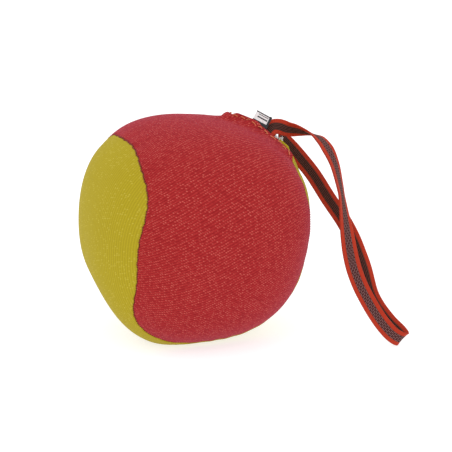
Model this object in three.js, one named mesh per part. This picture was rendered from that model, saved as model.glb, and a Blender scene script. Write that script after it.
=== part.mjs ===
// A stuffed cloth juggling ball: two peanut-shaped panels sewn together as a rounded cube,
// filled with fibre, with a webbing hand loop and a folded label caught in the closing seam.
// Millimetres, +Z up. The origin is on the floor under the ball's centre.
import * as THREE from 'three';
import { mergeVertices } from 'three/addons/utils/BufferGeometryUtils.js';

// ---- driving dimensions: the ball ----
const lobeReach = 72;            // from the ball's centre to the middle of a lobe
const squareness = 2.42;         // 2 is a sphere, more is a fuller cube
const heightShare = 0.975;       // height of the form over its width
const topSwell = 0.025;          // how much fuller the top is than the bottom
const cornerSkew = -0.105;       // how far one diagonal of corners is drawn in
const centreHeight = 67;         // ball centre above the floor, with its underside pressed flat
const ballTurn = 20;             // degrees about +Z
const ballTip = 8;               // degrees about +X
const ballLean = 6.5;            // degrees about +Y

// ---- driving dimensions: the cloth and its seams ----
const clothThickness = 1.2;
const fitGap = 0.35;             // clearance between neighbouring pieces
const seamReach = 51;            // degrees: how far each lobe reaches past the equator
const seamSquareness = 0.2;      // 1 is a sine-shaped seam, 0 a square one
const allowanceDepth = 7;        // how far the turned-in cloth edge reaches inside
const closingSeam = { middle: 36, spread: 26, raise: 22 };    // degrees: where it is drawn up
const sideDraw = { middle: -42, spread: 28, turn: 11 };      // degrees: it is drawn round here
const closingSpan = { from: -34, to: 46, fade: 9 };          // degrees around the ball
const lipHeight = 4;             // how far the closed edges stand up
const tailSpan = { from: -12, to: 18, fade: 3 };             // degrees: the tails lie here
const tailHalfGap = 4.2;         // half the gap that the two tails fill, along the grid

// ---- driving dimensions: thread, loop and label ----
const threadWidth = 0.3;
const topstitchWidth = 0.9;
const topstitchInset = 3.5;      // from a panel's edge to its row of stitches
const webbingWidth = 10;
const webbingThickness = 1.5;
const labelWidth = 11;
const labelHeight = 7;
const labelThickness = 0.8;

// ---- mesh fineness ----
const columns = 80;
const medialReach = 62;          // degrees: half length of a panel's middle line
const ringShares = [0, 0.24, 0.48, 0.7, 0.86, 0.94, 1];
const webbingSteps = 84;

const centre = new THREE.Vector3(0, 0, centreHeight);
const ballPose = new THREE.Quaternion();
for (const [x, y, z, angle] of [[0, 1, 0, ballLean], [1, 0, 0, ballTip], [0, 0, 1, ballTurn]]) {
  const turn = new THREE.Quaternion();
  turn.setFromAxisAngle(new THREE.Vector3(x, y, z), THREE.MathUtils.degToRad(angle));
  ballPose.multiply(turn);
}

// ---- the rounded-cube form ----
function formRadius(direction) {
  const { x, y, z } = direction;
  const sum = Math.abs(x) ** squareness + Math.abs(y) ** squareness
    + Math.abs(z / heightShare) ** squareness;
  return lobeReach * sum ** (-1 / squareness) * (1 + topSwell * z + cornerSkew * x * y * z);
}

// A point of the form, sunk by `depth`, in the object's frame and flat where it meets the floor.
function formPoint(direction, depth, raise = 0) {
  const point = direction.clone().multiplyScalar(formRadius(direction) - depth + raise);
  point.applyQuaternion(ballPose).add(centre);
  point.z = Math.max(point.z, depth);
  return point;
}

// ---- the seam: a closed line like a tennis ball's ----
function seamElevation(azimuth) {
  const wave = Math.cos(2 * THREE.MathUtils.degToRad(azimuth));
  const lobe = seamReach * Math.sign(wave) * Math.abs(wave) ** seamSquareness;
  const offset = (azimuth - closingSeam.middle) / closingSeam.spread;
  return lobe + closingSeam.raise * Math.exp(-offset * offset);
}

// How far the seam's azimuth is drawn round towards the back on the loop's side.
function drawnRound(azimuth) {
  const offset = (azimuth - sideDraw.middle) / sideDraw.spread;
  return sideDraw.turn * Math.exp(-offset * offset);
}

function directionAt(azimuth, elevation) {
  const a = THREE.MathUtils.degToRad(azimuth);
  const e = THREE.MathUtils.degToRad(elevation);
  return new THREE.Vector3(Math.cos(e) * Math.cos(a), Math.cos(e) * Math.sin(a), Math.sin(e));
}

// Seam stations evenly spaced along the line, the first at the front lobe's lower end.
function seamStations() {
  const fine = [];
  for (let azimuth = -90; azimuth < 270; azimuth += 0.05) {
    const wrapped = azimuth > 180 ? azimuth - 360 : azimuth;
    const drawn = wrapped + drawnRound(wrapped);
    fine.push({ azimuth: wrapped, direction: directionAt(drawn, seamElevation(wrapped)) });
  }
  const travelled = [0];
  for (let i = 1; i <= fine.length; i += 1) {
    const step = fine[i % fine.length].direction.distanceTo(fine[i - 1].direction);
    travelled.push(travelled[i - 1] + step);
  }
  const total = travelled[fine.length];
  const stations = [];
  let index = 0;
  for (let column = 0; column < columns; column += 1) {
    while (travelled[index + 1] < (total * column) / columns) index += 1;
    stations.push(fine[index]);
  }
  return stations;
}

function windowOver(azimuth, { from, to, fade }) {
  const rise = THREE.MathUtils.smoothstep(azimuth, from, from + fade);
  return rise * (1 - THREE.MathUtils.smoothstep(azimuth, to - fade, to));
}

const stations = seamStations();
const lips = stations.map(({ azimuth }) => lipHeight * windowOver(azimuth, closingSpan));
const halfGaps = stations.map(({ azimuth }) => {
  const widening = (tailHalfGap - fitGap) * windowOver(azimuth, tailSpan);
  return fitGap + widening;
});

// The middle line of a panel runs over the ball's top (red) or under its bottom (yellow).
function middleLine(isRed) {
  const start = isRed ? 0 : columns / 4;
  return stations.map((_, column) => {
    const along = (column - start + columns) % columns;
    const folded = Math.min(along, columns - along) / (columns / 2);
    const angle = THREE.MathUtils.degToRad(-medialReach * 1.5 * Math.cos(Math.PI * folded));
    const side = Math.sin(angle);
    const height = Math.cos(angle);
    return isRed ? new THREE.Vector3(0, side, height) : new THREE.Vector3(-side, 0, -height);
  });
}

function between(a, b, share) {
  const angle = a.angleTo(b);
  const point = a.clone().multiplyScalar(Math.sin((1 - share) * angle));
  return point.addScaledVector(b, Math.sin(share * angle)).normalize();
}

// The direction `inset` millimetres inside a panel's edge, towards its middle line.
function insetFrom(middle, station, inset) {
  const angle = middle.angleTo(station);
  return between(middle, station, 1 - inset / (lobeReach * angle));
}

// ---- solids from rows of points ----
function closed(geometry) {
  geometry.deleteAttribute('normal');
  geometry.deleteAttribute('uv');
  const merged = mergeVertices(geometry, 1e-4);
  const corners = merged.index.array;
  const kept = [];
  for (let i = 0; i < corners.length; i += 3) {
    const [a, b, c] = corners.slice(i, i + 3);
    if (a !== b && b !== c && c !== a) kept.push(a, b, c);
  }
  if (signedVolume(merged.getAttribute('position'), kept) < 0) kept.reverse();
  merged.setIndex(kept);
  merged.computeVertexNormals();
  return merged;
}

function signedVolume(position, corners) {
  const [a, b, c] = [new THREE.Vector3(), new THREE.Vector3(), new THREE.Vector3()];
  let volume = 0;
  for (let i = 0; i < corners.length; i += 3) {
    a.fromBufferAttribute(position, corners[i]);
    b.fromBufferAttribute(position, corners[i + 1]);
    c.fromBufferAttribute(position, corners[i + 2]);
    volume += a.dot(b.cross(c)) / 6;
  }
  return volume;
}

// A lathe's net of rings, with each ring moved to one row of points.
function skinOver(rows) {
  const profile = rows.map((_, ring) => new THREE.Vector2(1, ring));
  const geometry = new THREE.LatheGeometry(profile, rows[0].length);
  const position = geometry.getAttribute('position');
  for (let index = 0; index < position.count; index += 1) {
    const column = Math.floor(index / rows.length) % rows[0].length;
    const point = rows[index % rows.length][column];
    position.setXYZ(index, point.x, point.y, point.z);
  }
  return closed(geometry);
}

// A box bent along a route. `place` gives the centre, width and thickness directions.
function bentBox(width, thickness, steps, place) {
  const geometry = new THREE.BoxGeometry(width, thickness, 1, 1, 1, steps);
  const position = geometry.getAttribute('position');
  for (let index = 0; index < position.count; index += 1) {
    const { point, across, through } = place(position.getZ(index) + 0.5);
    point.addScaledVector(across, position.getX(index));
    point.addScaledVector(through, position.getY(index));
    position.setXYZ(index, point.x, point.y, point.z);
  }
  return closed(geometry);
}

// ---- the two panels: a cloth shell whose edge is turned in along the seam ----
function panelGeometry(isRed) {
  const middle = middleLine(isRed);
  const ringsAt = (depth, edgeExtra) => ringShares.map((share) => stations.map((station, i) => {
    const edge = insetFrom(middle[i], station.direction, halfGaps[i] + edgeExtra);
    const lift = share === 1 ? lips[i] : 0;
    return formPoint(between(middle[i], edge, share), depth, lift);
  }));
  const turnedIn = (edgeExtra) => stations.map((station, i) => {
    const edge = insetFrom(middle[i], station.direction, halfGaps[i] + edgeExtra);
    return formPoint(edge, clothThickness + allowanceDepth);
  });
  const outer = ringsAt(0, 0);
  const inner = ringsAt(clothThickness, clothThickness).reverse();
  return skinOver([...outer, turnedIn(0), turnedIn(clothThickness), ...inner]);
}

// ---- the filling: one body with a groove for the turned-in edges ----
function fillingGeometry() {
  const depth = clothThickness + fitGap;
  const half = (isRed) => {
    const middle = middleLine(isRed);
    const reach = clothThickness + 2.5 * fitGap;
    const edges = stations.map((station, i) => (
      insetFrom(middle[i], station.direction, halfGaps[i] + reach)));
    const rings = ringShares.map((share) => edges.map((edge, i) => (
      formPoint(between(middle[i], edge, share), depth))));
    const bottom = edges.map((edge) => formPoint(edge, depth + allowanceDepth + fitGap));
    return [...rings, bottom];
  };
  return skinOver([...half(true), ...half(false).reverse()]);
}

// ---- threads ----
function threadGeometry(points, width, sides, steps) {
  const outline = new THREE.Shape();
  for (let side = 0; side < sides; side += 1) {
    const angle = (2 * Math.PI * side) / sides;
    const x = (width / 2) * Math.cos(angle);
    const y = (width / 2) * Math.sin(angle);
    if (side === 0) outline.moveTo(x, y);
    else outline.lineTo(x, y);
  }
  outline.closePath();
  const path = new THREE.CatmullRomCurve3(points);
  const geometry = new THREE.ExtrudeGeometry(outline, { steps, extrudePath: path });
  return closed(geometry);
}

// The machine-sewn seam runs round the ball from one end of the closing seam to the other.
function seamThreadPoints() {
  const sinkage = clothThickness + allowanceDepth / 2;
  const inOrder = stations.map((station, i) => ({ ...station, i }));
  const gapStart = inOrder.findIndex(({ azimuth }) => azimuth > closingSpan.from - 2);
  const gapEnd = inOrder.findIndex(({ azimuth }) => azimuth > closingSpan.to + 2);
  const sewn = [...inOrder.slice(gapEnd), ...inOrder.slice(0, gapStart)];
  return sewn.map(({ direction }) => formPoint(direction, sinkage));
}

// The row of stitches that closes the ball, laid on the red panel beside the raised edge.
function topstitchPoints() {
  const middle = middleLine(true);
  const points = [];
  stations.forEach(({ azimuth, direction }, i) => {
    if (azimuth < closingSpan.from + 3 || azimuth > closingSpan.to - 3) return;
    const beside = insetFrom(middle[i], direction, halfGaps[i] + topstitchInset);
    points.push(formPoint(beside, 0, topstitchWidth / 2 + 2 * fitGap + lips[i] / 4));
  });
  return points;
}

// ---- the hand loop: flat webbing, [x, y, z, and the direction of its width] ----
const loopRoute = [
  [48.7, 8.2, 130.7, -0.72, 0.5, 0.49],
  [51.2, 8.8, 132.7, -0.6, 0.4, 0.7],
  [54.8, 9.6, 132.6, -0.2, 0.2, 1.0],
  [60, 10.8, 130.8, 0.1, -0.1, 1.0],
  [66.7, 8.4, 130.4, 0.1, -0.6, 0.8],
  [74.8, 5, 129, 0.0, -1.0, 0.3],
  [80.7, 2, 126, -0.4, -0.9, -0.2],
  [85.7, -1, 120, -0.7, -0.7, -0.2],
  [89.7, -4, 111.4, -0.6, -0.8, 0.0],
  [92.2, -8, 101.9, -0.5, -0.9, 0.1],
  [94.1, -12, 92.5, -0.4, -0.9, 0.2],
  [95.6, -15, 82, -0.6, -0.8, 0.1],
  [97.9, -18, 67, -0.9, -0.4, 0.0],
  [99.6, -20, 57, -1.0, -0.2, -0.1],
  [102.1, -22, 47, -1.0, -0.1, -0.3],
  [105.8, -25, 37.4, -0.9, -0.1, -0.4],
  [110.4, -28, 28.7, -0.9, -0.1, -0.4],
  [115.4, -31, 20.6, -0.8, -0.1, -0.5],
  [120.8, -34, 13.4, -0.8, -0.1, -0.6],
  [126.5, -36.5, 7.8, -0.7, -0.2, -0.7],
  [131, -36, 5.2, -0.7, -0.2, -0.7],
  [133, -32.5, 5.2, -0.7, -0.2, -0.7],
  [130.8, -29.2, 7.8, -0.7, -0.2, -0.7],
  [126.1, -27, 12, -0.7, -0.2, -0.7],
  [121.6, -25, 17, -0.8, -0.2, -0.6],
  [117.1, -23, 23, -0.9, -0.1, -0.5],
  [113.3, -21, 30.1, -0.9, -0.1, -0.4],
  [108.8, -17, 46.2, -1.0, -0.1, -0.3],
  [105.7, -14, 54.7, -0.9, -0.1, -0.3],
  [102, -10, 63.5, -0.9, -0.1, -0.4],
  [96.5, -6, 73.5, -0.9, -0.1, -0.5],
  [86.5, 2, 87.3, -0.9, -0.1, -0.5],
  [77, 9, 101.3, -0.8, -0.1, -0.6],
  [69.5, 14.5, 110, -0.7, -0.2, -0.7],
  [63.6, 18, 116.5, -0.6, -0.4, -0.7],
  [59, 19.2, 121.5, -0.4, -0.5, -0.8],
  [56, 18.2, 126, -0.1, -0.6, -0.8],
  [54, 16, 130, 0.4, -0.6, -0.7],
  [51.4, 12.6, 132, 0.6, -0.5, -0.6],
  [49.6, 10.1, 130.5, 0.72, -0.5, -0.49],
];

// A curve through the route whose `place` gives a centre, width and thickness direction.
function webbingLine(route) {
  const line = new THREE.CatmullRomCurve3(
    route.map(([x, y, z]) => new THREE.Vector3(x, y, z)),
    false,
    'centripetal',
  );
  line.arcLengthDivisions = 800;
  const widths = route.map((row) => new THREE.Vector3(row[3], row[4], row[5]));
  return (share) => {
    const along = line.getUtoTmapping(share);
    const slot = Math.min(Math.floor(along * (widths.length - 1)), widths.length - 2);
    const rest = along * (widths.length - 1) - slot;
    const tangent = line.getTangent(along);
    const across = widths[slot].clone().lerp(widths[slot + 1], rest);
    across.addScaledVector(tangent, -across.dot(tangent)).normalize();
    return { point: line.getPoint(along), across, through: tangent.cross(across) };
  };
}

function webbingGeometry(route, steps) {
  return bentBox(webbingWidth, webbingThickness, steps, webbingLine(route));
}

// The webbing's two ends, sewn into the closing seam one behind the other.
const tailRoutes = {
  front: [[41.6, 6.9, 121.6, -0.72, 0.5, 0.49], [48.1, 8, 129.9, -0.72, 0.5, 0.49]],
  back: [[42.2, 8.3, 120.9, -0.72, 0.5, 0.49], [48.9, 9.4, 129.4, -0.72, 0.5, 0.49]],
};

// ---- the label: a folded tag standing out of the closing seam beside the loop ----
const labelRoot = new THREE.Vector3(43.1, 8.2, 134.4);
const labelAlong = new THREE.Vector3(0.84, -0.32, -0.44).normalize();
const labelOut = new THREE.Vector3(0.55, 0.13, 0.83);
labelOut.addScaledVector(labelAlong, -labelOut.dot(labelAlong)).normalize();

function labelGeometry() {
  const place = (share) => ({
    point: labelRoot.clone().addScaledVector(labelOut, share * labelHeight),
    across: labelAlong,
    through: labelAlong.clone().cross(labelOut),
  });
  return bentBox(labelWidth, labelThickness, 3, place);
}

// ---- assembly ----
function piece(name, geometry, color, roughness) {
  const material = new THREE.MeshStandardMaterial({ color, roughness, metalness: 0 });
  const mesh = new THREE.Mesh(geometry, material);
  mesh.name = name;
  return mesh;
}

const ball = new THREE.Group();
ball.add(piece('red_panel', panelGeometry(true), 0xae3333, 0.9));
ball.add(piece('yellow_panel', panelGeometry(false), 0xb9a632, 0.9));
ball.add(piece('stuffing', fillingGeometry(), 0xe8e4da, 1));
ball.add(piece('seam_thread', threadGeometry(seamThreadPoints(), threadWidth, 4, 76), 0x8c2a20, 0.8));
ball.add(piece('closing_topstitch', threadGeometry(topstitchPoints(), topstitchWidth, 6, 30), 0xc07a3a, 0.8));

for (const [side, route] of Object.entries(tailRoutes)) {
  ball.add(piece(`loop_tail_${side}`, webbingGeometry(route, 2), 0xb0321f, 0.7));
}

const loop = new THREE.Group();
loop.add(piece('hand_loop', webbingGeometry(loopRoute, webbingSteps), 0xb0321f, 0.7));

const tag = new THREE.Group();
tag.add(piece('label', labelGeometry(), 0xe6e6e6, 0.6));

const juggling_ball = new THREE.Group();
juggling_ball.add(ball, loop, tag);
export default juggling_ball;
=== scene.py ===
"""A stuffed cloth juggling ball: two sewn panels, a webbing hand loop and a folded label.

Lengths are in metres, and names that end in _MM are millimetres. The ball's own axes are turned
into the row frame by BALL_POSE. Azimuths and elevations along the seam are in the ball's own axes.
"""
import math

import bpy
import numpy as np
from mathutils import Matrix, Vector


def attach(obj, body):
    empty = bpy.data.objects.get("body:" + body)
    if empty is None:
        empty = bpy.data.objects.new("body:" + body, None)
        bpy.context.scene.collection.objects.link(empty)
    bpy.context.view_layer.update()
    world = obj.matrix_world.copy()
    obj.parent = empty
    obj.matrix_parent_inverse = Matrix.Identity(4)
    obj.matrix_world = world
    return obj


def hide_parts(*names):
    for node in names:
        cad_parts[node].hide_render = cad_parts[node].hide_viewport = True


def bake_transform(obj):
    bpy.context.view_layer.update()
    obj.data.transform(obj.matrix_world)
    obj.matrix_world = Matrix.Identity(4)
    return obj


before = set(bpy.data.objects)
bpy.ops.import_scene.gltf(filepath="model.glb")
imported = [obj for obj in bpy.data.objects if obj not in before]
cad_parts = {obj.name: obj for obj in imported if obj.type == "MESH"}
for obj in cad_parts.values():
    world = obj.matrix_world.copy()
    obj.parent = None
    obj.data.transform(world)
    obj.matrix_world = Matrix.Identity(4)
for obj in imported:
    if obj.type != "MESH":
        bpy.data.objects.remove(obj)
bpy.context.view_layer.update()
MM = 0.001
scene = bpy.context.scene

# ---- the camera ----
VIEW_AIM = Vector((0.0209, 0.0006, 0.0692))
VIEW_DISTANCE = 1.08
VIEW_ELEVATION = math.radians(15)
VIEW_LENS_MM = 133.6

# ---- the ball's form: the CAD model's, with lumps that only the visual model has ----
LOBE_REACH_MM = 72.0
SQUARENESS = 2.42
HEIGHT_SHARE = 0.975
TOP_SWELL = 0.025
CORNER_SKEW = -0.105
CENTRE_MM = np.array([0.0, 0.0, 67.0])
BALL_TURN, BALL_TIP, BALL_LEAN = 20, 8, 6.5      # degrees about +Z, then +X, then +Y
# Where the hand-packed filling swells or sinks: degrees anticlockwise round the main view, from
# its right, and millimetres.
LUMPS = [(0.0, -3.0), (-110.0, 4.0), (-140.0, -5.0)]
VIEW_RIGHT = np.array([1.0, 0.0, 0.0])
VIEW_UP = np.array([0.0, math.sin(VIEW_ELEVATION), math.cos(VIEW_ELEVATION)])
LUMP_SHARPNESS = 26

# ---- the seam: the CAD model's, but drawn up a little more at the closing corner, where its
# spans are also a little different ----
SEAM_REACH = 51.0
SEAM_SQUARENESS = 0.2
CLOSING_RAISE, CLOSING_MIDDLE, CLOSING_SPREAD = 25.0, 36.0, 26.0
SIDE_TURN, SIDE_MIDDLE, SIDE_SPREAD = 11.0, -42.0, 28.0
# Degrees: low on this side the red lobe reaches out further. Only the visual model has this.
LOW_TURN, LOW_MIDDLE, LOW_SPREAD = 2.4, -128.0, 20.0
LOW_STARTS, LOW_FULL, LOW_DROP_SHARE = 5, 35, 0.6
CLOSING_SPAN = (-34.0, 46.0, 7.0)                # from, to, fade, degrees
TAIL_SPAN = (-9.0, 16.0, 4.0)
MEDIAL_REACH = 93.0                              # degrees: half length of a panel's middle line
SEAM_SAMPLES = 600                               # for each quarter of the seam
LAST_AZIMUTH = 270.0                             # where the seam's line closes on itself

# ---- the cloth ----
CLOTH_MM = 1.0
ROLL_MM = 1.1                                    # radius that the cloth turns in with at a seam
WELD_MM = 0.02
HALF_GAP_MM = 0.12
TAIL_HALF_GAP_MM = 2.4
ALLOWANCE_MM = 6.0
LOW_LIP_MM, HIGH_LIP_MM = 3.4, 6.7
LIP_RISES = (-4.0, 12.0)                         # degrees: the lip grows from low to high here
LIP_SAG_MM, LIP_SAG_AT, LIP_SAG_SPREAD = 2.0, 38.0, 8.0
TUCK_MM, TUCK_RUN_MM, TUCK_SPREAD_MM, TUCK_REACH_MM = 2.3, 203.5, 2.6, 5.6
LIP_REACH_MM, LIP_POWER = 17.0, 2.3
TUCK_HALF_MM, TUCK_END_MM = 0.5, 3.4
YELLOW_LIP_DROP_MM, YELLOW_LIP_EXTRA_MM = 1.0, 2.4
YELLOW_SHOWS = (-24.0, -2.0, 6.0)
GATHER_MM, GATHER_FADE_MM = 0.55, 6.0
SEAM_PUCKER_MM, PUCKER_FADE_MM, YELLOW_PUCKER_SHARE = 0.28, 5.0, 0.8
FOLD_LIMIT_MM = 0.65
SEAM_WANDER_MM = 0.2

COLUMNS = 480
INNER_ROWS = 30
EDGE_ROWS_MM = (7.0, 5.9, 4.9, 4.0, 3.2, 2.5, 1.9, 1.45)
ROLL_STEP, ROLL_ROWS = 15, 7                     # degrees, and rows round the turned-in edge
HIDDEN_ROWS_MM = (1.2, 3.0, ALLOWANCE_MM)        # rows of the seam allowance, below the roll

# ---- the filling ----
FILLING_COLUMNS, FILLING_ROWS = 160, 14
FILLING_DEPTH_MM, FILLING_LOW_MM = 2.6, 9.5
FILLING_EDGE_MM = 3.2
FILLING_LIP_SHARE = 0.6

# ---- the cloth simulation ----
SIM_COLUMNS = 240
SIM_ROWS = 22
SIM_FRAMES = 20
SIM_DEPTH_MM = 0.6
SIM_PRESSURE = 2500
SIM_MASS = 0.001
SIM_STRETCH, SIM_SHEAR, SIM_BENDING = 12, 4, 0.4
SIM_SHRINK = 0.12
GATHER_ROWS, PLAIN_GATHER = 1.3, 0.45            # fade in rows, and its share away from the closing seam
FINE_PASSES, BROAD_PASSES = 2, 60

# ---- webbing: x, y, z in metres and the direction of its width ----
LOOP_ROUTE = [
    (0.0487, 0.0082, 0.1307, -0.72, 0.5, 0.49),
    (0.0512, 0.0088, 0.1327, -0.6, 0.4, 0.7),
    (0.0548, 0.0096, 0.1326, -0.2, 0.2, 1.0),
    (0.0600, 0.0108, 0.1308, 0.1, -0.1, 1.0),
    (0.0667, 0.0084, 0.1304, 0.1, -0.6, 0.8),
    (0.0748, 0.0050, 0.1290, 0.0, -1.0, 0.3),
    (0.0807, 0.0020, 0.1260, -0.4, -0.9, -0.2),
    (0.0857, -0.0010, 0.1200, -0.7, -0.7, -0.2),
    (0.0897, -0.0040, 0.1114, -0.6, -0.8, 0.0),
    (0.0922, -0.0080, 0.1019, -0.5, -0.9, 0.1),
    (0.0941, -0.0120, 0.0925, -0.4, -0.9, 0.2),
    (0.0956, -0.0150, 0.0820, -0.6, -0.8, 0.1),
    (0.0979, -0.0180, 0.0670, -0.9, -0.4, 0.0),
    (0.0996, -0.0200, 0.0570, -1.0, -0.2, -0.1),
    (0.1021, -0.0220, 0.0470, -1.0, -0.1, -0.3),
    (0.1058, -0.0250, 0.0374, -0.9, -0.1, -0.4),
    (0.1104, -0.0280, 0.0287, -0.9, -0.1, -0.4),
    (0.1154, -0.0310, 0.0206, -0.8, -0.1, -0.5),
    (0.1208, -0.0340, 0.0134, -0.8, -0.1, -0.6),
    (0.1265, -0.0365, 0.0078, -0.7, -0.2, -0.7),
    (0.1310, -0.0360, 0.0052, -0.7, -0.2, -0.7),
    (0.1330, -0.0325, 0.0052, -0.7, -0.2, -0.7),
    (0.1308, -0.0292, 0.0078, -0.7, -0.2, -0.7),
    (0.1261, -0.0270, 0.0120, -0.7, -0.2, -0.7),
    (0.1216, -0.0250, 0.0170, -0.8, -0.2, -0.6),
    (0.1171, -0.0230, 0.0230, -0.9, -0.1, -0.5),
    (0.1133, -0.0210, 0.0301, -0.9, -0.1, -0.4),
    (0.1088, -0.0170, 0.0462, -1.0, -0.1, -0.3),
    (0.1057, -0.0140, 0.0547, -0.9, -0.1, -0.3),
    (0.1020, -0.0100, 0.0635, -0.9, -0.1, -0.4),
    (0.0965, -0.0060, 0.0735, -0.9, -0.1, -0.5),
    (0.0865, 0.0020, 0.0873, -0.9, -0.1, -0.5),
    (0.0770, 0.0090, 0.1013, -0.8, -0.1, -0.6),
    (0.0695, 0.0145, 0.1100, -0.7, -0.2, -0.7),
    (0.0636, 0.0180, 0.1165, -0.6, -0.4, -0.7),
    (0.0590, 0.0192, 0.1215, -0.4, -0.5, -0.8),
    (0.0560, 0.0182, 0.1260, -0.1, -0.6, -0.8),
    (0.0540, 0.0160, 0.1300, 0.4, -0.6, -0.7),
    (0.0514, 0.0126, 0.1320, 0.6, -0.5, -0.6),
    (0.0496, 0.0101, 0.1305, 0.72, -0.5, -0.49),
]
FRONT_TAIL = [(0.0416, 0.0069, 0.1216, -0.72, 0.5, 0.49), (0.0452, 0.0075, 0.1262, -0.72, 0.5, 0.49)]
BACK_TAIL = [(0.0456, 0.0089, 0.1252, 0.72, -0.5, -0.49), (0.0422, 0.0083, 0.1209, 0.72, -0.5, -0.49)]
WEBBING_WIDTH_MM = 10.0
WEBBING_HALF_MM = 0.6
GRIP_LINES = 5
GRIP_PITCH_MM = 0.96
GRIP_RAISE_MM = 0.14
FAR_FACE_MM = 20.0                               # added to the weave coordinate on the far face
WEBBING_EDGE_MM = 0.7
WEBBING_STEP_MM = 0.95

# ---- frayed fibres beside the webbing ----
FRAY_SPAN = (-9.5, 1.5)                        # degrees
FRAY_COUNT = 110

# ---- the label ----
LABEL_ROOT = Vector((0.0426, 0.0082, 0.1350))
LABEL_ALONG = Vector((0.86, -0.28, -0.42)).normalized()
LABEL_OUT = Vector((0.55, 0.13, 0.83))
LABEL_WIDTH_MM = 11.0
LABEL_HEIGHT_MM = 6.8
LABEL_TUCKED_MM = 1.6                            # this much of it is hidden in the seam


# ---------------------------------------------------------------- camera, floor and light
def make_camera():
    data = bpy.data.cameras.new("camera")
    data.lens = VIEW_LENS_MM
    data.sensor_width = 36
    data.clip_start = 0.05
    camera = bpy.data.objects.new("camera", data)
    back = Vector((0, -math.cos(VIEW_ELEVATION), math.sin(VIEW_ELEVATION)))
    camera.location = VIEW_AIM + VIEW_DISTANCE * back
    camera.rotation_euler = (math.pi / 2 - VIEW_ELEVATION, 0, 0)
    scene.collection.objects.link(camera)
    scene.camera = camera


def make_floor():
    sides, radius = 64, 7.0
    ring = [(radius * math.cos(2 * math.pi * k / sides), radius * math.sin(2 * math.pi * k / sides), 0)
            for k in range(sides)]
    mesh = bpy.data.meshes.new("floor")
    mesh.from_pydata(ring, [], [tuple(range(sides))])
    floor = bpy.data.objects.new("floor", mesh)
    scene.collection.objects.link(floor)
    net = NodeNet("pale_floor")
    shader = net.shader
    shader.inputs["Base Color"].default_value = (0.50, 0.50, 0.505, 1)
    shader.inputs["Emission Color"].default_value = (1, 1, 1, 1)
    shader.inputs["Emission Strength"].default_value = 0.70
    shader.inputs["Roughness"].default_value = 0.85
    shader.inputs["Specular IOR Level"].default_value = 0.2
    mesh.materials.append(net.material)


def make_lights():
    world = bpy.data.worlds.new("studio")
    world.use_nodes = True
    world.node_tree.nodes["Background"].inputs["Color"].default_value = (1, 1, 1, 1)
    world.node_tree.nodes["Background"].inputs["Strength"].default_value = 0.98
    scene.world = world
    lamps = [
        # name, place, size, watts
        ("key", (-0.55, -0.75, 1.25), 0.9, 3.0),
        ("fill", (0.95, -0.6, 0.8), 0.9, 1.0),
        ("top", (0.15, 0.45, 1.5), 1.1, 2.0),
    ]
    for name, place, size, watts in lamps:
        data = bpy.data.lights.new(name, "AREA")
        data.shape = "SQUARE"
        data.size = size
        data.energy = watts
        lamp = bpy.data.objects.new(name, data)
        lamp.location = place
        lamp.rotation_euler = (Vector((0.02, 0, 0.06)) - Vector(place)).to_track_quat("-Z", "Y").to_euler()
        scene.collection.objects.link(lamp)
    scene.view_settings.view_transform = "Standard"
    scene.view_settings.look = "None"


# ---------------------------------------------------------------- material helpers
class NodeNet:
    """Short calls for building a material's nodes."""

    def __init__(self, name):
        self.material = bpy.data.materials.new(name)
        self.material.use_nodes = True
        self.nodes = self.material.node_tree.nodes
        self.links = self.material.node_tree.links
        self.shader = self.nodes["Principled BSDF"]

    def node(self, kind, inputs=None, **settings):
        made = self.nodes.new(kind)
        for key, value in settings.items():
            setattr(made, key, value)
        for key, value in (inputs or {}).items():
            if isinstance(value, bpy.types.NodeSocket):
                self.links.new(value, made.inputs[key])
            else:
                made.inputs[key].default_value = value
        return made

    def math(self, operation, a, b=0.0, c=0.0, clamp=False):
        inputs = {0: a, 1: b, 2: c}
        return self.node("ShaderNodeMath", inputs, operation=operation, use_clamp=clamp).outputs[0]

    def mix(self, share, a, b):
        made = self.node("ShaderNodeMix", data_type="RGBA", blend_type="MIX")
        for socket, value in ((made.inputs[0], share), (made.inputs[6], a), (made.inputs[7], b)):
            if isinstance(value, bpy.types.NodeSocket):
                self.links.new(value, socket)
            else:
                socket.default_value = value
        return made.outputs[2]

    def step(self, value, low, high):
        inputs = {"Value": value, "From Min": low, "From Max": high}
        return self.node("ShaderNodeMapRange", inputs, interpolation_type="SMOOTHSTEP").outputs[0]

    def uv(self, layer):
        split = self.node("ShaderNodeSeparateXYZ", {0: self.node("ShaderNodeUVMap", uv_map=layer).outputs[0]})
        return split.outputs[0], split.outputs[1]

    def noise(self, scale, detail=2.0, roughness=0.5):
        place = self.node("ShaderNodeTexCoord").outputs["Object"]
        inputs = {"Scale": scale, "Detail": detail, "Roughness": roughness, "Vector": place}
        return self.node("ShaderNodeTexNoise", inputs).outputs[0]

    def vector(self, x, y):
        return self.node("ShaderNodeCombineXYZ", {0: x, 1: y}).outputs[0]

    def finish(self, colour, roughness, height, bump_mm):
        self.links.new(colour, self.shader.inputs["Base Color"])
        self.shader.inputs["Roughness"].default_value = roughness
        inputs = {"Height": height, "Distance": bump_mm * MM, "Strength": 1.0}
        bump = self.node("ShaderNodeBump", inputs)
        self.links.new(bump.outputs[0], self.shader.inputs["Normal"])
        return self.material

    def gloss(self, specular, sheen=0.0, sheen_roughness=0.4, tint=(1, 1, 1, 1)):
        self.shader.inputs["Specular IOR Level"].default_value = specular
        self.shader.inputs["Sheen Weight"].default_value = sheen
        self.shader.inputs["Sheen Roughness"].default_value = sheen_roughness
        self.shader.inputs["Sheen Tint"].default_value = tint


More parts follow.
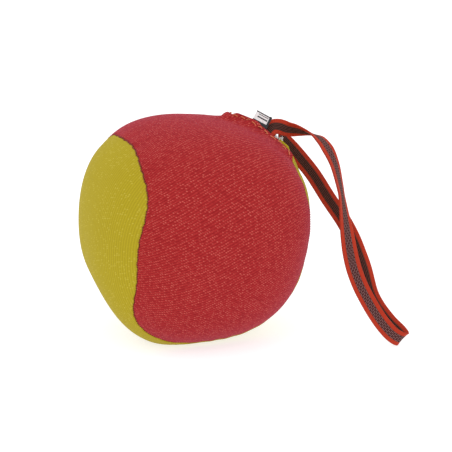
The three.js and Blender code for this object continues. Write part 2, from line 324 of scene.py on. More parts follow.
def woven_cells(net, u, v, angle, along_mm, across_mm, shear, randomness):
    """A woven ground: one cell for each float of yarn, lying along `angle`. Gives the height, a
    random number for each cell, and the place across the ridges."""
    cosine, sine = math.cos(angle), math.sin(angle)
    along = net.math("ADD", net.math("MULTIPLY", u, cosine), net.math("MULTIPLY", v, sine))
    across = net.math("SUBTRACT", net.math("MULTIPLY", v, cosine), net.math("MULTIPLY", u, sine))
    along = net.math("DIVIDE", along, along_mm)
    across = net.math("DIVIDE", across, across_mm)
    sheared = net.math("ADD", along, net.math("MULTIPLY", across, shear))
    inputs = {"Vector": net.vector(sheared, across), "Scale": 1.0, "Randomness": randomness}
    cells = net.node("ShaderNodeTexVoronoi", inputs, voronoi_dimensions="2D", feature="F1")
    pillow = net.math("SUBTRACT", 1.0, net.math("POWER", cells.outputs["Distance"], 1.6), clamp=True)
    chance = net.node("ShaderNodeSeparateColor", {0: cells.outputs["Color"]}).outputs[0]
    ridge = net.math("MULTIPLY_ADD", net.math("COSINE", net.math("MULTIPLY", across, 2 * math.pi)), 0.5, 0.5)
    return pillow, chance, ridge


def red_cloth_material():
    net = NodeNet("red_cloth")
    u, v = net.uv("weave")
    drift = net.math("MULTIPLY", net.math("SUBTRACT", net.noise(22.0, 2.0), 0.5), 2.6)
    v = net.math("ADD", v, drift)
    pillow, chance, ridge = woven_cells(net, u, v, math.radians(27), 1.35, 1.72, 0.5, 0.42)
    fine = net.noise(900.0, 3.0, 0.65)
    cloud = net.noise(30.0, 3.0)
    base = net.mix(cloud, (0.39, 0.023, 0.023, 1), (0.44, 0.032, 0.031, 1))
    # Painted shade: the weave's hollows between the ridges are mixed towards a darker red.
    valley_shade = net.math("MULTIPLY", net.math("SUBTRACT", 1.0, net.math("MULTIPLY", ridge, pillow)), 0.58)
    base = net.mix(valley_shade, base, (0.19, 0.006, 0.009, 1))
    light_crowns = net.math("MULTIPLY", net.step(chance, 0.10, 1.00), net.step(pillow, 0.80, 0.97))
    light_crowns = net.math("MULTIPLY", light_crowns, net.step(fine, 0.25, 0.60))
    base = net.mix(net.math("MULTIPLY", light_crowns, 0.80), base, (0.60, 0.14, 0.11, 1))
    dark = net.math("MULTIPLY", net.step(chance, 0.22, 0.06), 0.2)
    base = net.mix(dark, base, (0.17, 0.005, 0.008, 1))
    height = net.math("ADD", net.math("MULTIPLY", pillow, 0.65), net.math("MULTIPLY", ridge, 0.35))
    height = net.math("ADD", height, net.math("MULTIPLY", fine, 0.35))
    net.gloss(0.06, 0.16, 0.4, (0.88, 0.34, 0.64, 1))
    return net.finish(base, 0.86, height, 0.28)


def yellow_cloth_material():
    net = NodeNet("yellow_cloth")
    u, v = net.uv("weave")
    drift = net.math("MULTIPLY", net.math("SUBTRACT", net.noise(20.0, 2.0), 0.5), 1.8)
    u = net.math("ADD", u, drift)
    pillow, chance, ridge = woven_cells(net, u, v, math.radians(98), 1.25, 1.75, 0.5, 0.35)
    fine = net.noise(950.0, 3.0, 0.6)
    cloud = net.noise(26.0, 3.0)
    base = net.mix(cloud, (0.41, 0.318, 0.014, 1), (0.45, 0.355, 0.020, 1))
    # Painted shade: the weave's hollows between the ribs are mixed towards a darker yellow.
    valley_shade = net.math("MULTIPLY", net.math("SUBTRACT", 1.0, net.math("MULTIPLY", ridge, pillow)), 0.42)
    base = net.mix(valley_shade, base, (0.25, 0.185, 0.008, 1))
    # Painted highlight: the raised crowns of some cells are mixed towards a lighter yellow.
    light_crowns = net.math("MULTIPLY", net.step(chance, 0.72, 0.95), net.step(pillow, 0.70, 0.95))
    base = net.mix(net.math("MULTIPLY", light_crowns, 0.36), base, (0.62, 0.52, 0.09, 1))
    height = net.math("ADD", net.math("MULTIPLY", pillow, 0.4), net.math("MULTIPLY", ridge, 0.6))
    height = net.math("ADD", height, net.math("MULTIPLY", fine, 0.3))
    net.gloss(0.06, 0.1, 0.5, (0.95, 0.88, 0.45, 1))
    return net.finish(base, 0.88, height, 0.16)


def webbing_material():
    net = NodeNet("grip_webbing")
    place, run = net.uv("weave")
    outer = net.math("GREATER_THAN", place, FAR_FACE_MM / 2)
    across = net.math("SUBTRACT", place, net.math("MULTIPLY", outer, FAR_FACE_MM))
    off_centre = net.math("ABSOLUTE", across)
    half_band = GRIP_LINES * GRIP_PITCH_MM / 2
    band = net.step(off_centre, half_band + 0.12, half_band - 0.12)
    wave = net.math("COSINE", net.math("MULTIPLY", across, 2 * math.pi / GRIP_PITCH_MM))
    line = net.math("MULTIPLY_ADD", wave, 0.5, 0.5)
    index = net.math("ROUND", net.math("DIVIDE", across, GRIP_PITCH_MM))
    shifted = net.math("ADD", run, net.math("MULTIPLY", index, 1.6))
    dash_wave = net.math("SINE", net.math("MULTIPLY", shifted, 2 * math.pi / 3.2))
    dash = net.math("MAXIMUM", net.step(dash_wave, -0.95, -0.55), net.math("SUBTRACT", 1.0, outer))
    fine = net.noise(1100.0, 3.0, 0.6)
    rib = net.math("SINE", net.math("MULTIPLY", run, 2 * math.pi / 0.72))
    rib = net.math("MULTIPLY_ADD", rib, 0.5, 0.5)
    edge = net.mix(fine, (0.39, 0.022, 0.007, 1), (0.48, 0.044, 0.013, 1))
    edge = net.mix(net.math("MULTIPLY", rib, 0.25), edge, (0.24, 0.008, 0.005, 1))
    grey = net.mix(outer, (0.125, 0.045, 0.032, 1), (0.22, 0.115, 0.11, 1))
    ground = net.mix(outer, (0.022, 0.004, 0.003, 1), (0.050, 0.007, 0.006, 1))
    thread = net.math("MULTIPLY", net.step(line, 0.50, 0.80), dash)
    centre = net.mix(thread, ground, grey)
    colour = net.mix(band, edge, centre)
    height = net.math("MULTIPLY", net.math("MULTIPLY", line, band), dash)
    edge_rib = net.math("MULTIPLY", rib, net.math("SUBTRACT", 1.0, band))
    height = net.math("ADD", height, net.math("MULTIPLY", edge_rib, 0.5))
    height = net.math("ADD", height, net.math("MULTIPLY", fine, 0.3))
    net.gloss(0.15, 0.08, 0.4, (1.0, 0.75, 0.7, 1))
    return net.finish(colour, 0.62, height, 0.12)


def thread_material(name, low, high):
    net = NodeNet(name)
    u, v = net.uv("weave")
    twist = net.math("SINE", net.math("ADD", net.math("MULTIPLY", v, 12.0), net.math("MULTIPLY", u, 6.28)))
    twist = net.math("MULTIPLY_ADD", twist, 0.5, 0.5)
    colour = net.mix(net.math("MULTIPLY", net.math("ADD", twist, net.noise(700.0)), 0.5), low, high)
    net.gloss(0.3, 0.2)
    return net.finish(colour, 0.7, twist, 0.08)


def filling_material():
    net = NodeNet("polyester_fibre")
    wisps = net.noise(260.0, 6.0, 0.7)
    colour = net.mix(wisps, (0.62, 0.60, 0.55, 1), (0.88, 0.87, 0.83, 1))
    net.gloss(0.2, 0.4)
    return net.finish(colour, 0.95, wisps, 1.2)


def label_material():
    """White satin tape with a dark border and plain dark bars."""
    net = NodeNet("printed_tape")
    across, up = net.uv("weave")
    fine = net.noise(1400.0, 2.0)
    white = net.mix(fine, (0.80, 0.80, 0.80, 1), (0.92, 0.92, 0.92, 1))
    half = LABEL_WIDTH_MM / 2
    side = net.step(net.math("ABSOLUTE", across), half - 1.6, half - 1.4)
    low = net.step(up, 1.1, 0.9)
    high = net.step(up, LABEL_HEIGHT_MM - 1.1, LABEL_HEIGHT_MM - 0.9)
    rim = net.math("MULTIPLY", high, net.step(up, LABEL_HEIGHT_MM - 0.25, LABEL_HEIGHT_MM - 0.45))
    right = net.math("MULTIPLY", side, net.math("GREATER_THAN", across, 0.0))
    border = net.math("MAXIMUM", net.math("MAXIMUM", low, rim), right)
    row_wave = net.math("COSINE", net.math("MULTIPLY", net.math("SUBTRACT", up, 3.3), 2 * math.pi / 1.9))
    bar = net.step(row_wave, 0.0, 0.3)
    inside = net.math("MULTIPLY", net.step(up, 1.9, 2.1), net.step(up, 5.3, 5.1))
    inside = net.math("MULTIPLY", inside, net.step(net.math("ABSOLUTE", across), 3.7, 3.5))
    ink = net.math("MAXIMUM", border, net.math("MULTIPLY", bar, inside))
    colour = net.mix(ink, white, (0.022, 0.026, 0.030, 1))
    rib = net.math("SINE", net.math("MULTIPLY", up, 2 * math.pi / 0.3))
    net.gloss(0.4, 0.1)
    return net.finish(colour, 0.5, rib, 0.03)


# ---------------------------------------------------------------- the ball's form and seam
def pose_matrix():
    lean = Matrix.Rotation(math.radians(BALL_LEAN), 3, "Y")
    tip = Matrix.Rotation(math.radians(BALL_TIP), 3, "X")
    turn = Matrix.Rotation(math.radians(BALL_TURN), 3, "Z")
    return np.array(lean @ tip @ turn)


BALL_POSE = pose_matrix()


def unit(vectors):
    return vectors / np.linalg.norm(vectors, axis=-1, keepdims=True)


def smooth_step(value, low, high):
    share = np.clip((value - low) / (high - low), 0, 1)
    return share * share * (3 - 2 * share)


def window(azimuth, span):
    start, end, fade = span
    return smooth_step(azimuth, start, start + fade) * (1 - smooth_step(azimuth, end - fade, end))


def form_radius(directions):
    x, y, z = np.moveaxis(directions, -1, 0)
    total = np.abs(x) ** SQUARENESS + np.abs(y) ** SQUARENESS + np.abs(z / HEIGHT_SHARE) ** SQUARENESS
    radius = LOBE_REACH_MM * total ** (-1 / SQUARENESS) * (1 + TOP_SWELL * z + CORNER_SKEW * x * y * z)
    world = directions @ BALL_POSE.T
    for turn, height in LUMPS:
        angle = math.radians(turn)
        toward = math.cos(angle) * VIEW_RIGHT + math.sin(angle) * VIEW_UP
        radius = radius + height * np.exp(LUMP_SHARPNESS * (world @ toward - 1))
    return radius


def form_points(directions, depth, raised):
    """Points of the form in the row frame, in millimetres, sunk by depth and flat on the floor."""
    points = directions * (form_radius(directions) - depth + raised)[..., None] @ BALL_POSE.T + CENTRE_MM
    points[..., 2] = np.maximum(points[..., 2], np.clip(depth, 0.05, None))
    return points


def seam_line(count):
    """`count` azimuths and directions evenly spaced along the seam, from the front lobe's low end."""
    rise = -np.cos(np.linspace(0, math.pi, SEAM_SAMPLES, endpoint=False))
    azimuths, lobes = [], []
    for quadrant in range(4):
        wave = rise if quadrant % 2 == 0 else -rise
        turn = np.degrees(np.arccos(np.sign(wave) * np.abs(wave) ** (1 / SEAM_SQUARENESS))) / 2
        azimuths.append({0: -turn, 1: turn, 2: 180 - turn, 3: 180 + turn}[quadrant])
        lobes.append(wave)
    azimuth, lobe = np.concatenate(azimuths), np.concatenate(lobes)
    wrapped = np.where(azimuth > 180, azimuth - 360, azimuth)
    bump = CLOSING_RAISE * np.exp(-((wrapped - CLOSING_MIDDLE) / CLOSING_SPREAD) ** 2)
    elevation = np.radians(SEAM_REACH * lobe + bump)
    drawn = SIDE_TURN * np.exp(-((wrapped - SIDE_MIDDLE) / SIDE_SPREAD) ** 2)
    low_down = smooth_step(-np.degrees(elevation), LOW_STARTS, LOW_FULL)
    low_down = low_down * np.exp(-((wrapped - LOW_MIDDLE) / LOW_SPREAD) ** 2)
    drawn = drawn - LOW_TURN * low_down
    elevation = elevation - np.radians(LOW_TURN) * low_down * LOW_DROP_SHARE
    a = np.radians(azimuth + drawn)
    points = np.stack([np.cos(elevation) * np.cos(a), np.cos(elevation) * np.sin(a), np.sin(elevation)], 1)
    steps = np.linalg.norm(np.roll(points, -1, 0) - points, axis=1)
    travelled = np.concatenate([[0], np.cumsum(steps)])
    wanted = travelled[-1] * np.arange(count) / count
    ringed = np.concatenate([points, points[:1]])
    even = np.stack([np.interp(wanted, travelled, ringed[:, k]) for k in range(3)], 1)
    azimuth_ring = np.concatenate([azimuth, [LAST_AZIMUTH]])
    even_azimuth = np.interp(wanted, travelled, azimuth_ring)
    run_mm = wanted * LOBE_REACH_MM
    even = unit(even)
    ahead = unit(np.roll(even, -1, 0) - np.roll(even, 1, 0))
    wander = np.sin(run_mm / 1.15) + 0.7 * np.sin(run_mm / 0.71 + 1) + 3.5 * np.sin(run_mm / 7.3 + 2)
    even = even + np.cross(even, ahead) * (wander * SEAM_WANDER_MM / LOBE_REACH_MM)[:, None]
    return np.where(even_azimuth > 180, even_azimuth - 360, even_azimuth), unit(even), run_mm


def middle_line(is_red, count):
    """The point on a panel's middle line that each of its `count` columns starts from."""
    start = 0 if is_red else count / 4
    along = (np.arange(count) - start) % count
    folded = np.minimum(along, count - along) / (count / 2)
    angle = np.radians(-MEDIAL_REACH * np.cos(math.pi * folded))
    zero = np.zeros(count)
    if is_red:
        return np.stack([zero, np.sin(angle), np.cos(angle)], 1)
    return np.stack([-np.sin(angle), zero, -np.cos(angle)], 1)


class PanelNet:
    """One panel's net of rows and columns: rows run along the seam, columns from the middle out."""

    def __init__(self, is_red, columns):
        self.is_red = is_red
        self.columns = columns
        self.azimuth, self.edge, self.run = seam_line(columns)
        self.middle = middle_line(is_red, columns)
        self.angle = np.arccos(np.clip((self.middle * self.edge).sum(1), -1, 1))
        self.width = self.angle * LOBE_REACH_MM
        self.closing = window(self.azimuth, CLOSING_SPAN)
        self.gap = HALF_GAP_MM + (TAIL_HALF_GAP_MM - HALF_GAP_MM) * window(self.azimuth, TAIL_SPAN)

    def directions(self, share):
        a = np.sin((1 - share) * self.angle) / np.sin(self.angle)
        b = np.sin(share * self.angle) / np.sin(self.angle)
        return unit(self.middle * a[:, None] + self.edge * b[:, None])


def closing_height(net, from_edge):
    """How far the cloth stands above the form near its edge: lips, tuck, gathers and puckers."""
    run, azimuth = net.run, net.azimuth
    lip = LOW_LIP_MM + (HIGH_LIP_MM - LOW_LIP_MM) * smooth_step(azimuth, *LIP_RISES)
    lip = lip - LIP_SAG_MM * np.exp(-((azimuth - LIP_SAG_AT) / LIP_SAG_SPREAD) ** 2)
    lip = lip + 0.2 * np.sin(run / 5.3) + 0.25 * np.sin(run / 2.1 + 1)
    if not net.is_red:
        lip = lip - YELLOW_LIP_DROP_MM + YELLOW_LIP_EXTRA_MM * window(azimuth, YELLOW_SHOWS)
    flare = np.clip(1 - from_edge / LIP_REACH_MM, 0, 1) ** LIP_POWER
    height = lip * net.closing * flare
    if net.is_red:
        tuck = np.exp(-((run - TUCK_RUN_MM) / TUCK_SPREAD_MM) ** 2)
        off_centre = np.abs(from_edge - TUCK_REACH_MM)
        height += TUCK_MM * tuck * (1 - smooth_step(off_centre, TUCK_HALF_MM, TUCK_END_MM))
    fold = np.sin(run / 1.45 + 0.8 * np.sin(run / 6)) + 0.6 * np.sin(run / 0.93 + 2)
    near = np.clip(from_edge / 3, 0, 1) * np.exp(-from_edge / GATHER_FADE_MM)
    height += GATHER_MM * net.closing * fold * near
    pucker = np.sin(run / 1.9 + 1.5 * np.sin(run / 13)) * (0.6 + 0.4 * np.sin(run / 31 + 2))
    share = 1 if net.is_red else YELLOW_PUCKER_SHARE
    height += SEAM_PUCKER_MM * (1 - net.closing) * pucker * np.exp(-from_edge / PUCKER_FADE_MM) * share
    return height * smooth_step(1 - from_edge / net.width, 0, 0.3)


# ---------------------------------------------------------------- cloth simulation
def simulated_folds():
    """Sews and inflates the whole ball as cloth, and gives each panel's folds in millimetres as a
    grid of rows and columns, with the broad change of shape taken out."""
    nets = [PanelNet(True, SIM_COLUMNS), PanelNet(False, SIM_COLUMNS)]
    points, faces, gather, starts = [], [], [], []
    for net in nets:
        starts.append(len(points))
        for row in range(SIM_ROWS + (1 if net.is_red else 0)):
            directions = net.directions(row / SIM_ROWS)
            depth = np.full(SIM_COLUMNS, SIM_DEPTH_MM)
            points.extend(form_points(directions, depth, np.zeros(SIM_COLUMNS)) * MM)
            near = math.exp(-(SIM_ROWS - row) / GATHER_ROWS)
            gather.extend(near * (PLAIN_GATHER + (1 - PLAIN_GATHER) * net.closing))

    def index(panel, row, column):
        column %= SIM_COLUMNS
        if row == 0:                             # both sides meet at the panel's middle line
            first = panel * SIM_COLUMNS // 4
            along = (column - first) % SIM_COLUMNS
            column = (first + min(along, SIM_COLUMNS - along)) % SIM_COLUMNS
        if panel == 1 and row == SIM_ROWS:
            return starts[0] + SIM_ROWS * SIM_COLUMNS + column
        return starts[panel] + row * SIM_COLUMNS + column

    for panel in range(2):
        for row in range(SIM_ROWS):
            for column in range(SIM_COLUMNS):
                face = [index(panel, row, column), index(panel, row, column + 1),
                        index(panel, row + 1, column + 1), index(panel, row + 1, column)]
                faces.append(face[::-1] if panel == 0 else face)
    points = np.array(points)
    mesh = bpy.data.meshes.new("inflated")
    mesh.from_pydata([tuple(p) for p in points], [], faces)
    inflated = bpy.data.objects.new("inflated", mesh)
    scene.collection.objects.link(inflated)
    group = inflated.vertex_groups.new(name="gather")
    for vertex, weight in enumerate(gather):
        if weight > 0.01:
            group.add([vertex], float(weight), "REPLACE")
    cloth = inflated.modifiers.new("Cloth", "CLOTH")
    settings = cloth.settings
    settings.quality = 5
    settings.mass = SIM_MASS
    settings.tension_stiffness = SIM_STRETCH
    settings.compression_stiffness = SIM_STRETCH
    settings.shear_stiffness = SIM_SHEAR
    settings.bending_stiffness = SIM_BENDING
    settings.use_pressure = True
    settings.uniform_pressure_force = SIM_PRESSURE
    settings.vertex_group_shrink = "gather"
    settings.shrink_min = 0.0
    settings.shrink_max = SIM_SHRINK
    settings.effector_weights.gravity = 0
    cloth.point_cache.frame_start, cloth.point_cache.frame_end = 1, SIM_FRAMES
    for step in range(1, SIM_FRAMES + 1):
        scene.frame_set(step)
    depsgraph = bpy.context.evaluated_depsgraph_get()
    settled = inflated.evaluated_get(depsgraph).data
    moved = np.empty(len(points) * 3)
    settled.vertices.foreach_get("co", moved)
    moved = moved.reshape(-1, 3)
    bpy.data.objects.remove(inflated)
    scene.frame_set(1)
    outward = unit(points - CENTRE_MM * MM)
    lift = ((moved - points) * outward).sum(1) / MM
    grids = []
    for panel in range(2):
        rows = [[index(panel, row, column) for column in range(SIM_COLUMNS)] for row in range(SIM_ROWS + 1)]
        grid = lift[np.array(rows)]
        folded = smoothed(grid, FINE_PASSES) - smoothed(grid, BROAD_PASSES)
        grids.append(np.clip(folded, -FOLD_LIMIT_MM, FOLD_LIMIT_MM))
    return grids


def smoothed(grid, times):
    for _ in range(times):
        along = (np.roll(grid, 1, 1) + np.roll(grid, -1, 1)) / 2
        padded = np.concatenate([grid[1:2], grid, grid[-2:-1]])
        across = (padded[:-2] + padded[2:]) / 2
        grid = (2 * grid + along + across) / 4
    return grid


def sampled(grid, share, columns):
    """The folds' grid read at `share` of the way out, for `columns` evenly spaced columns."""
    row = np.clip(share, 0, 1) * SIM_ROWS
    low = np.minimum(row.astype(int), SIM_ROWS - 1)
    rest = row - low
    column = np.arange(columns) * SIM_COLUMNS / columns
    left = column.astype(int)
    part = column - left
    right = (left + 1) % SIM_COLUMNS
    part = part * part * (3 - 2 * part)
    lower = grid[low, left] * (1 - part) + grid[low, right] * part
    upper = grid[low + 1, left] * (1 - part) + grid[low + 1, right] * part
    return lower * (1 - rest) + upper * rest


# ---------------------------------------------------------------- mesh helpers
def new_object(name, points, faces, coordinates, material):
    """A smooth-shaded object from points in metres; coordinates is one pair for each point, or None."""
    mesh = bpy.data.meshes.new(name)
    mesh.from_pydata([tuple(p) for p in points], [], [tuple(f) for f in faces])
    mesh.validate()
    if coordinates is not None:
        layer = mesh.uv_layers.new(name="weave")
        corner = np.empty(len(mesh.loops), dtype=np.int32)
        mesh.loops.foreach_get("vertex_index", corner)
        layer.data.foreach_set("uv", np.asarray(coordinates, dtype=np.float32)[corner].ravel())
    mesh.polygons.foreach_set("use_smooth", [True] * len(mesh.polygons))
    made = bpy.data.objects.new(name, mesh)
    scene.collection.objects.link(made)
    mesh.materials.append(material)
    return made


def apply_modifiers(made):
    depsgraph = bpy.context.evaluated_depsgraph_get()
    mesh = bpy.data.meshes.new_from_object(made.evaluated_get(depsgraph), depsgraph=depsgraph)
    made.modifiers.clear()
    made.data = mesh


def ring_faces(rows, columns, flip=False):
    faces = []
    for row in range(rows - 1):
        for column in range(columns):
            after = (column + 1) % columns
            face = (row * columns + column, row * columns + after,
                    (row + 1) * columns + after, (row + 1) * columns + column)
            faces.append(face[::-1] if flip else face)
    return faces


def weave_coordinates(directions, is_red):
    """Millimetres across and along a panel's cut, measured from its middle."""
    x, y, z = np.moveaxis(directions, -1, 0)
    if is_red:
        across, along = np.arcsin(np.clip(x, -1, 1)), np.arctan2(y, z)
    else:
        across, along = np.arcsin(np.clip(y, -1, 1)), np.arctan2(x, -z)
    return np.stack([across, along], -1) * LOBE_REACH_MM


# ---------------------------------------------------------------- the two cloth panels
def panel_rows(net):
    """(share, distance from the edge, depth below the surface) for each row, from the middle out."""
    rows = []
    for row in range(INNER_ROWS):
        share = row / INNER_ROWS * (1 - (EDGE_ROWS_MM[0] + net.gap) / net.width)
        rows.append((share, (1 - share) * net.width - net.gap, 0.0))
    for distance in EDGE_ROWS_MM:
        out = distance + net.gap
        rows.append((1 - out / net.width, np.full(net.columns, distance), 0.0))
    for step in range(ROLL_ROWS):
        angle = math.radians(ROLL_STEP * step)
        distance = ROLL_MM * (1 - math.sin(angle))
        depth = ROLL_MM * (1 - math.cos(angle))
        rows.append((1 - (distance + net.gap) / net.width, np.full(net.columns, distance), depth))
    for depth in HIDDEN_ROWS_MM:
        rows.append((1 - net.gap / net.width, np.zeros(net.columns), ROLL_MM + depth))
    return rows


def panel_surface(net, folds, share, from_edge, depth):
    directions = net.directions(share)
    calm = 1 - net.closing * smooth_step(share, 0.05, 0.4)
    raised = closing_height(net, from_edge) + calm * sampled(folds, share, net.columns)
    return form_points(directions, np.full(net.columns, float(depth)), raised), directions


def make_panel(name, is_red, folds, material):
    net = PanelNet(is_red, COLUMNS)
    points, coordinates = [], []
    rows = panel_rows(net)
    for share, from_edge, depth in rows:
        row_points, directions = panel_surface(net, folds, share, from_edge, depth)
        if not points:                           # the first row is the middle line, met from both sides
            mirror = ((0 if is_red else COLUMNS // 2) - np.arange(COLUMNS)) % COLUMNS
            row_points = (row_points + row_points[mirror]) / 2
        points.append(row_points * MM)
        coordinates.append(weave_coordinates(directions, is_red))
    points = np.concatenate(points)
    coordinates = np.concatenate(coordinates)
    panel = new_object(name, points, ring_faces(len(rows), COLUMNS, flip=is_red), coordinates, material)
    weld = panel.modifiers.new("Weld", "WELD")
    weld.merge_threshold = WELD_MM * MM
    thick = panel.modifiers.new("Solidify", "SOLIDIFY")
    thick.thickness = CLOTH_MM * MM
    thick.offset = -1
    apply_modifiers(panel)
    return panel


def make_filling(material):
    """One closed body just inside the cloth, drawn in along the seam."""
    depth = np.full(FILLING_COLUMNS, FILLING_DEPTH_MM)
    low_depth = np.full(FILLING_COLUMNS, FILLING_LOW_MM)
    points = []
    for is_red in (True, False):
        net = PanelNet(is_red, FILLING_COLUMNS)
        last_share = 1 - FILLING_EDGE_MM / net.width
        rows = []
        for row in range(FILLING_ROWS + 1):
            share = row / FILLING_ROWS * last_share
            raised = closing_height(net, (1 - share) * net.width) * FILLING_LIP_SHARE
            rows.append(form_points(net.directions(share), depth, raised))
        rows.append(form_points(net.directions(last_share), low_depth, np.zeros(FILLING_COLUMNS)))
        points.extend(rows if is_red else rows[::-1])
    faces = ring_faces(len(points), FILLING_COLUMNS, flip=True)
    filling = new_object("fibre_filling", np.concatenate(points) * MM, faces, None, material)
    weld = filling.modifiers.new("Weld", "WELD")
    weld.merge_threshold = WELD_MM * MM
    apply_modifiers(filling)
    return filling


# ---------------------------------------------------------------- stitches
def capsule(start, end, radius, sag_toward, sag, sides, steps):
    """Points, faces and weave coordinates of a short bowed thread with round ends."""
    start, end = Vector(start), Vector(end)
    line = end - start
    axis = line.normalized()
    side = axis.orthogonal().normalized()
    other = axis.cross(side)
    points, coordinates = [], []
    stations = [(-0.5, 0.35), (-0.47, 0.75)]
    stations += [(-0.40 + 0.8 * k / (steps - 1), 1.0) for k in range(steps)]
    stations += [(0.47, 0.75), (0.5, 0.35)]
    for place, share in stations:
        centre = start + line * (place + 0.5) + sag_toward * (sag * (4 * place * place - 0.35))
        for k in range(sides):
            angle = 2 * math.pi * k / sides
            points.append(centre + radius * share * (math.cos(angle) * side + math.sin(angle) * other))
            coordinates.append((k / sides, (place + 0.5) * line.length / MM))
    faces = ring_faces(len(stations), sides)
    last = (len(stations) - 1) * sides
    faces.append(tuple(reversed(range(sides))))
    faces.append(tuple(last + k for k in range(sides)))
    return points, faces, coordinates


def gathered(parts):
    points, faces, coordinates = [], [], []
    for part_points, part_faces, part_coordinates in parts:
        base = len(points)
        points.extend(part_points)
        faces.extend(tuple(base + k for k in face) for face in part_faces)
        coordinates.extend(part_coordinates)
    return points, faces, coordinates


def surface_frame(net, folds, distance, rise):
    """Points on a panel at `distance` from its edge, raised off the cloth, with their outward way."""
    from_edge = np.full(net.columns, float(distance))
    share = 1 - (from_edge + net.gap) / net.width
    points, directions = panel_surface(net, folds, share, from_edge, 0.0)
    outward = unit(directions @ BALL_POSE.T)
    return (points + outward * rise) * MM, outward


def make_seam_stitches(folds, material):
    """Small bridging stitches down in the groove, all round but at the closing seam."""
    red = PanelNet(True, COLUMNS)
    points, outward = surface_frame(red, folds, 0.0, -ROLL_MM * 0.45)
    across = unit(red.middle - red.edge) @ BALL_POSE.T
    parts = []
    for column in range(COLUMNS):
        if red.closing[column] > 0.3 or points[column][2] < 1.5 * MM:
            continue
        reach = 0.85 * MM
        slant = (points[(column + 1) % COLUMNS] - points[column - 1]) * 0.3
        start = points[column] - across[column] * reach - slant
        end = points[column] + across[column] * reach + slant
        parts.append(capsule(start, end, 0.28 * MM, Vector(outward[column]), -0.35 * MM, 6, 4))
    return new_object("seam_stitches", *gathered(parts), material)


def make_closing_stitches(folds, material):
    """The row of stitches that closes the ball, beside the raised edge of the red cloth."""
    net = PanelNet(True, COLUMNS * 2)
    points, outward = surface_frame(net, folds, 3.6, 0.6)
    shown = [c for c in range(net.columns) if CLOSING_SPAN[0] + 4 < net.azimuth[c] < CLOSING_SPAN[1] - 2]
    parts = []
    stitch, pitch = 4, 6
    for first in range(0, len(shown) - stitch, pitch):
        a, b = shown[first], shown[first + stitch]
        wobble = 0.5 * MM * math.sin(first * 1.7)
        start = Vector(points[a]) + Vector(net.middle[a] @ BALL_POSE.T) * wobble
        parts.append(capsule(start, points[b], 0.36 * MM, Vector(outward[a]), -0.45 * MM, 8, 6))
    return new_object("closing_stitches", *gathered(parts), material)


def make_fray(folds, material):
    """Loose white fibres that show where the two edges part beside the webbing."""
    net = PanelNet(False, COLUMNS)
    points, outward = surface_frame(net, folds, 0.3, -0.4)
    shown = [c for c in range(net.columns) if FRAY_SPAN[0] < net.azimuth[c] < FRAY_SPAN[1]]
    chance = np.random.default_rng(7)
    parts = []
    for _ in range(FRAY_COUNT):
        column = shown[int(chance.integers(len(shown)))]
        start = Vector(points[column])
        way = Vector(outward[column]) + 0.9 * Vector(chance.normal(size=3))
        length = (0.9 + 1.5 * chance.random()) * MM
        end = start + way.normalized() * length
        bow = Vector(chance.normal(size=3)).normalized()
        parts.append(capsule(start, end, 0.19 * MM, bow, 0.5 * MM, 5, 6))
    return new_object("frayed_fibres", *gathered(parts), material)


# ---------------------------------------------------------------- the webbing
def webbing_line(route, per_segment=60):
    """Centre points, width directions and length run along a centripetal Catmull-Rom curve."""
    knots = np.array([row[:3] for row in route])
    widths = np.array([row[3:] for row in route])
    ends = np.concatenate([[2 * knots[0] - knots[1]], knots, [2 * knots[-1] - knots[-2]]])
    places, ways = [], []
    for k in range(len(knots) - 1):
        p0, p1, p2, p3 = ends[k:k + 4]
        d0, d1, d2 = (math.sqrt(np.linalg.norm(b - a)) for a, b in ((p0, p1), (p1, p2), (p2, p3)))
        m1 = ((p1 - p0) / d0 - (p2 - p0) / (d0 + d1) + (p2 - p1) / d1) * d1
        m2 = ((p2 - p1) / d1 - (p3 - p1) / (d1 + d2) + (p3 - p2) / d2) * d1
        for step in range(per_segment):
            t = step / per_segment
            place = p1 + m1 * t + (-3 * p1 + 3 * p2 - 2 * m1 - m2) * t ** 2
            places.append(place + (2 * p1 - 2 * p2 + m1 + m2) * t ** 3)
            ways.append(widths[k] * (1 - t) + widths[k + 1] * t)
    places.append(knots[-1])
    ways.append(widths[-1])
    places, ways = np.array(places), np.array(ways)
    run = np.concatenate([[0], np.cumsum(np.linalg.norm(np.diff(places, axis=0), axis=1))])
    return places, ways, run


def webbing_profile():
    """The section as (across, through, weave coordinate) in millimetres, all round."""
    samples = 48
    half = WEBBING_WIDTH_MM / 2
    side = []
    for k in range(samples + 1):
        across = -half * math.cos(math.pi * k / samples) * 0.25 + (-half + 2 * half * k / samples) * 0.75
        near_edge = max(0.0, (abs(across) - (half - WEBBING_EDGE_MM)) / WEBBING_EDGE_MM)
        through = WEBBING_HALF_MM * math.sqrt(max(0.0, 1 - near_edge ** 2))
        if abs(across) < GRIP_LINES * GRIP_PITCH_MM / 2:
            wave = 0.5 + 0.5 * math.cos(2 * math.pi * across / GRIP_PITCH_MM)
            through += GRIP_RAISE_MM * wave
        side.append((across, through))
    inner = [(a, t, a) for a, t in side]
    outer = [(a, -t, a + FAR_FACE_MM) for a, t in reversed(side[1:-1])]
    return inner + outer


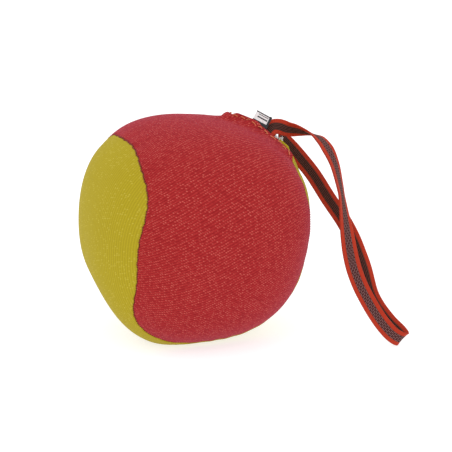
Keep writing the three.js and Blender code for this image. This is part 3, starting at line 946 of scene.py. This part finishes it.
def make_webbing(material):
    route = FRONT_TAIL + LOOP_ROUTE + BACK_TAIL
    places, ways, run = webbing_line(route)
    count = int(run[-1] / (WEBBING_STEP_MM * MM))
    wanted = np.linspace(0, run[-1], count)
    centre = np.stack([np.interp(wanted, run, places[:, k]) for k in range(3)], 1)
    across = np.stack([np.interp(wanted, run, ways[:, k]) for k in range(3)], 1)
    for _ in range(6):
        across[1:-1] = (across[:-2] + 2 * across[1:-1] + across[2:]) / 4
    tangent = unit(np.gradient(centre, axis=0))
    across = unit(across - tangent * (across * tangent).sum(1)[:, None])
    through = np.cross(tangent, across)
    profile = webbing_profile()
    points, coordinates = [], []
    for k in range(count):
        for a, t, weave in profile:
            points.append(centre[k] + (across[k] * a + through[k] * t) * MM)
            coordinates.append((weave, wanted[k] / MM))
    sides = len(profile)
    faces = ring_faces(count, sides, flip=True)
    faces.append(tuple(range(sides)))
    faces.append(tuple((count - 1) * sides + k for k in reversed(range(sides))))
    strap = new_object("hand_strap", points, faces, coordinates, material)
    return strap, centre, float(run[-1])


# ---------------------------------------------------------------- the label
def make_label(material):
    """A tape folded at its outer end, its two layers a little apart, slightly curled."""
    out = (LABEL_OUT - LABEL_ALONG * LABEL_OUT.dot(LABEL_ALONG)).normalized()
    through = LABEL_ALONG.cross(out)
    columns, half_rows = 24, 14
    layer = 0.22
    fold = LABEL_HEIGHT_MM - layer
    rises = [k / half_rows * (fold + LABEL_TUCKED_MM) - LABEL_TUCKED_MM for k in range(half_rows + 1)]
    path = [(rise, layer) for rise in rises]
    for k in range(1, 6):
        angle = math.pi * k / 6
        path.append((fold + layer * math.sin(angle), layer * math.cos(angle)))
    path += [(rise, -layer) for rise in reversed(rises)]
    points, coordinates, faces = [], [], []
    for rise, offset in path:
        for column in range(columns + 1):
            side = (column / columns - 0.5) * LABEL_WIDTH_MM
            curl = 0.35 * math.sin(side / 3.0) * (rise / LABEL_HEIGHT_MM) ** 2
            bend = 0.5 * (rise / LABEL_HEIGHT_MM) ** 2
            place = LABEL_ROOT + (LABEL_ALONG * side + out * rise + through * (offset + curl + bend)) * MM
            points.append(place)
            coordinates.append((side, rise))
    wide = columns + 1
    for row in range(len(path) - 1):
        for column in range(columns):
            first = row * wide + column
            faces.append((first, first + 1, first + wide + 1, first + wide))
    label = new_object("folded_label", points, faces, coordinates, material)
    thick = label.modifiers.new("Solidify", "SOLIDIFY")
    thick.thickness = 0.16 * MM
    thick.offset = 0
    apply_modifiers(label)
    return label


# ---------------------------------------------------------------- assembly
make_camera()

strap, strap_line, strap_length = make_webbing(webbing_material())
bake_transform(strap)
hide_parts("hand_loop", "loop_tail_front", "loop_tail_back")

folds = simulated_folds()
red_panel = make_panel("red_cloth_panel", True, folds[0], red_cloth_material())
yellow_panel = make_panel("yellow_cloth_panel", False, folds[1], yellow_cloth_material())
fibre = filling_material()
filling = make_filling(fibre)
red_thread = thread_material("red_thread", (0.20, 0.012, 0.012, 1), (0.32, 0.022, 0.020, 1))
orange_thread = thread_material("orange_thread", (0.52, 0.10, 0.04, 1), (0.68, 0.21, 0.08, 1))
seam_stitches = make_seam_stitches(folds[0], red_thread)
closing_stitches = make_closing_stitches(folds[0], orange_thread)
fray = make_fray(folds[1], fibre)
label = make_label(label_material())

for piece, body, node, slot in (
    (red_panel, "ball", "red_panel", "red_cloth"),
    (yellow_panel, "ball", "yellow_panel", "yellow_cloth"),
    (filling, "ball", "stuffing", "stuffing"),
    (seam_stitches, "ball", "seam_thread", "seam_thread"),
    (closing_stitches, "ball", "closing_topstitch", "topstitch_thread"),
    (label, "tag", "label", "label"),
):
    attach(piece, body)
    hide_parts(node)
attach(fray, "ball")

make_floor()
make_lights()
